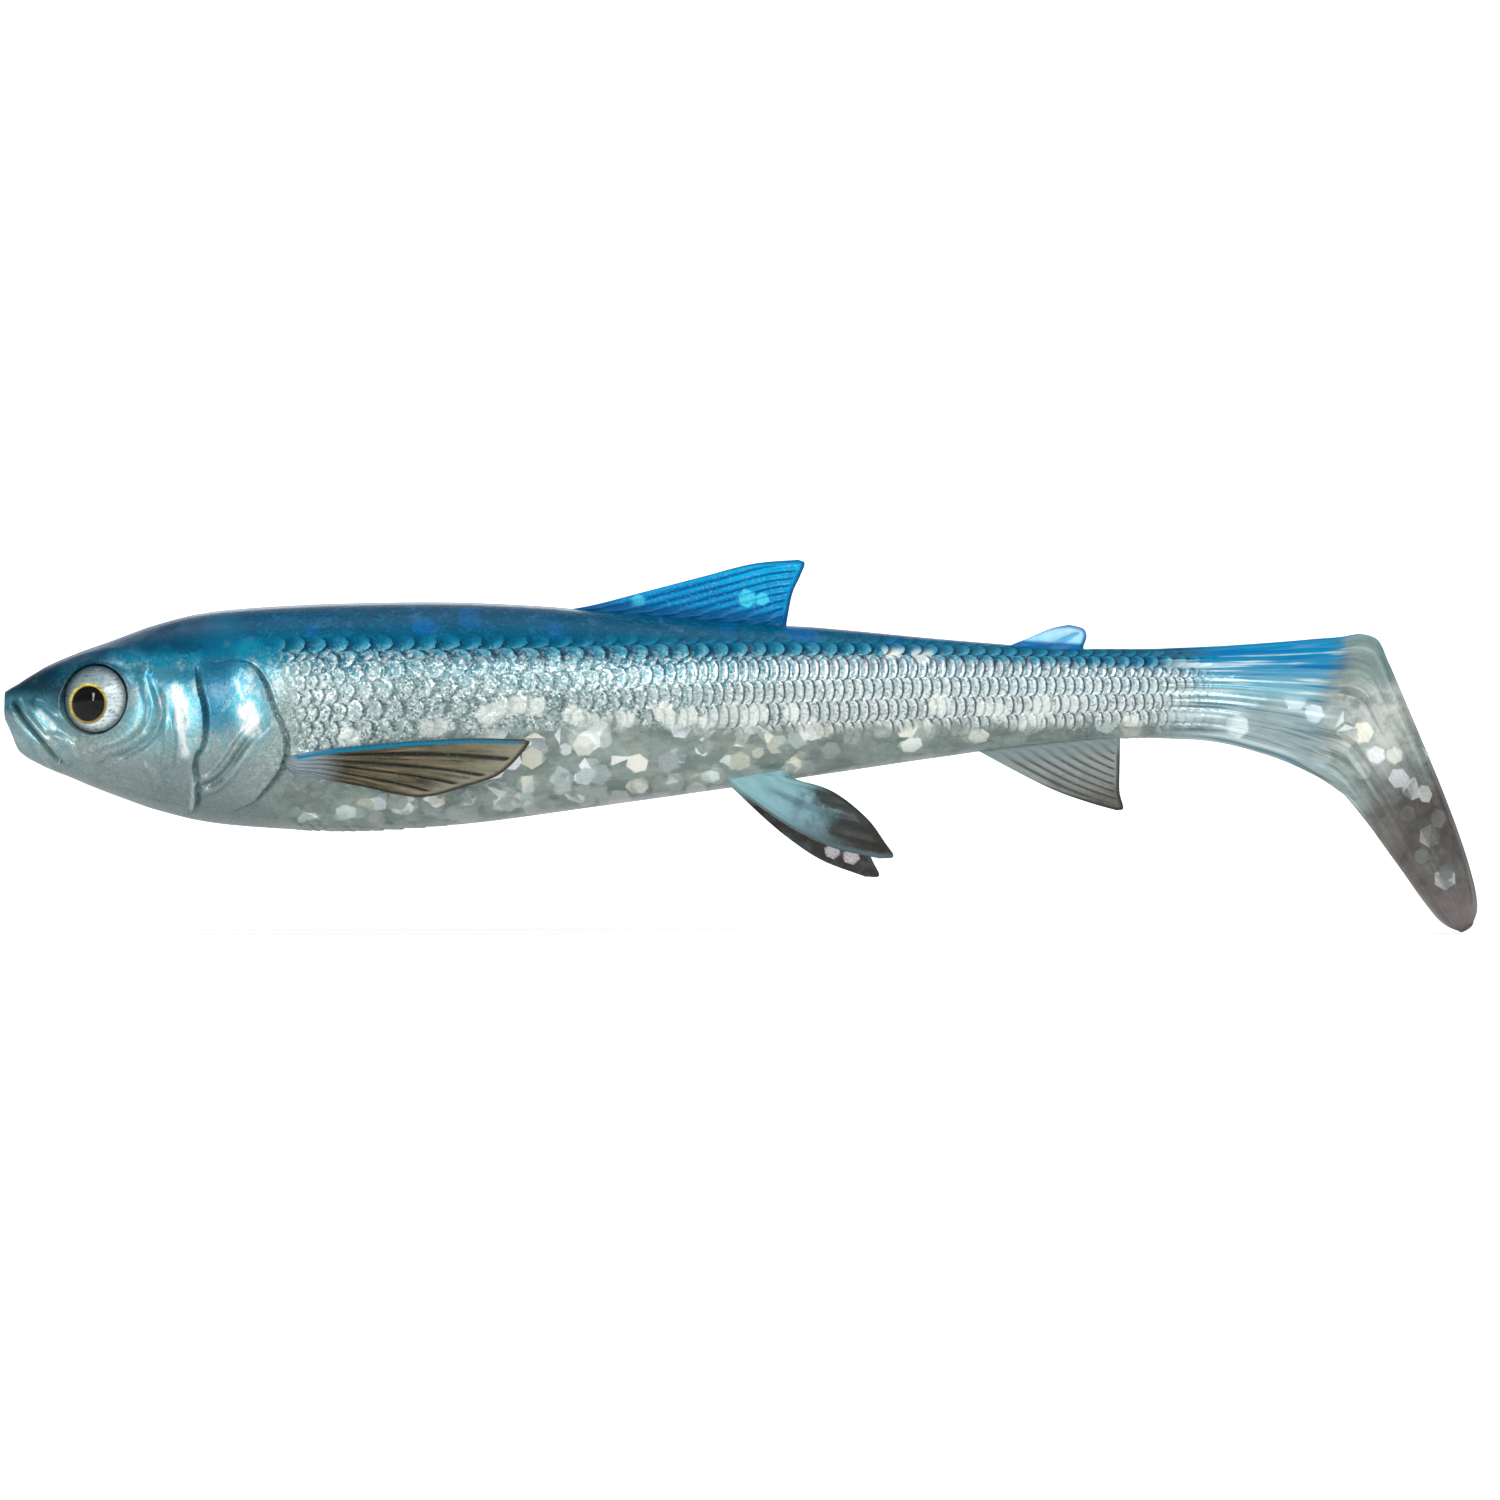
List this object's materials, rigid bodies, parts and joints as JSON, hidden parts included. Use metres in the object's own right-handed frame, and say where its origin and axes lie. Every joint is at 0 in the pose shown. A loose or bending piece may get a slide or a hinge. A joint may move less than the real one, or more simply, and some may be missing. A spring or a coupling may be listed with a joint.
{
  "type": "swimbait",
  "caption": "Soft paddle-tail fishing lure shaped as a slim silver baitfish, with flexing body and tail, hinged fins, glued domed eyes and glitter set in clear plastic.",
  "frame": {"origin": "centre of the blunt face of the nose", "axes": "+X from the nose to the tail, +Z from belly to back, +Y to the fish's right flank"},
  "size_m": [0.2, 0.03, 0.0505],
  "materials": {
    "body_plastic": "glossy translucent soft plastic, blue back, pearl silver flanks, clear grey-green belly",
    "smoke_plastic": "glossy translucent soft plastic, clear above and smoke grey at the lower end",
    "blue_fin": "glossy translucent blue soft plastic with dark rim and rays",
    "smoke_fin": "glossy translucent smoke soft plastic with dark rays",
    "eye_foil": "silver foil with a printed gold ring and black pupil",
    "eye_dome": "clear poured dome, polished",
    "glitter": "pearl and silver film flakes"
  },
  "bodies": {
    "trunk": {"front_body": "body_plastic", "glitter_front": "glitter", "eye_foil_left": "eye_foil", "eye_foil_right": "eye_foil", "eye_lens_left": "eye_dome", "eye_lens_right": "eye_dome"},
    "mid": {"mid_body": "body_plastic", "glitter_mid": "glitter"},
    "rear": {"rear_body": "body_plastic", "glitter_rear": "glitter"},
    "stem": {"tail_stem": "body_plastic", "glitter_stem": "glitter"},
    "paddle": {"tail_paddle": "smoke_plastic", "glitter_paddle": "glitter"},
    "dorsal": {"dorsal_fin": "blue_fin"},
    "adipose": {"adipose_fin": "blue_fin"},
    "anal": {"anal_fin": "smoke_fin"},
    "pectoral_left": {"pectoral_fin_left": "smoke_fin"},
    "pectoral_right": {"pectoral_fin_right": "smoke_fin"},
    "pelvic_left": {"pelvic_fin_left": "smoke_fin"},
    "pelvic_right": {"pelvic_fin_right": "smoke_fin"}
  },
  "joints": [
    {"name": "front_bend", "type": "hinge", "parent": "trunk", "child": "mid", "pos_m": [0.1135, 0, 0], "axis": [0, 0, 1], "range_deg": [-10, 10]},
    {"name": "rear_bend", "type": "hinge", "parent": "mid", "child": "rear", "pos_m": [0.1275, 0, 0], "axis": [0, 0, 1], "range_deg": [-12, 12]},
    {"name": "tail_kick", "type": "hinge", "parent": "rear", "child": "stem", "pos_m": [0.157, 0, 0], "axis": [0, 0, 1], "range_deg": [-30, 30]},
    {"name": "paddle_flex", "type": "hinge", "parent": "stem", "child": "paddle", "pos_m": [0.18657, 0, -0.00581], "axis": [0, 1, 0], "range_deg": [-14, 14]},
    {"name": "dorsal_lean", "type": "hinge", "parent": "trunk", "child": "dorsal", "pos_m": [0.0921, 0, 0.01235], "axis": [0.9972, 0, -0.0751], "range_deg": [-35, 35]},
    {"name": "adipose_lean", "type": "hinge", "parent": "rear", "child": "adipose", "pos_m": [0.14115, 0, 0.00838], "axis": [0.9983, 0, -0.0585], "range_deg": [-30, 30]},
    {"name": "anal_lean", "type": "hinge", "parent": "rear", "child": "anal", "pos_m": [0.1418, 0, -0.00583], "axis": [0.9957, 0, 0.0921], "range_deg": [-35, 35]},
    {"name": "pectoral_swing_left", "type": "hinge", "parent": "trunk", "child": "pectoral_left", "pos_m": [0.0404, -0.01138, -0.008], "axis": [0, 0.2789, -0.9603], "range_deg": [0, 40]},
    {"name": "pectoral_swing_right", "type": "hinge", "parent": "trunk", "child": "pectoral_right", "pos_m": [0.0404, 0.01138, -0.008], "axis": [0, 0.2789, 0.9603], "range_deg": [0, 40]},
    {"name": "pelvic_swing_left", "type": "hinge", "parent": "trunk", "child": "pelvic_left", "pos_m": [0.10216, -0.0036, -0.01031], "axis": [-0.9889, 0, -0.1483], "range_deg": [-12, 25]},
    {"name": "pelvic_swing_right", "type": "hinge", "parent": "trunk", "child": "pelvic_right", "pos_m": [0.10216, 0.0036, -0.01031], "axis": [0.9889, 0, 0.1483], "range_deg": [-12, 25]}
  ]
}
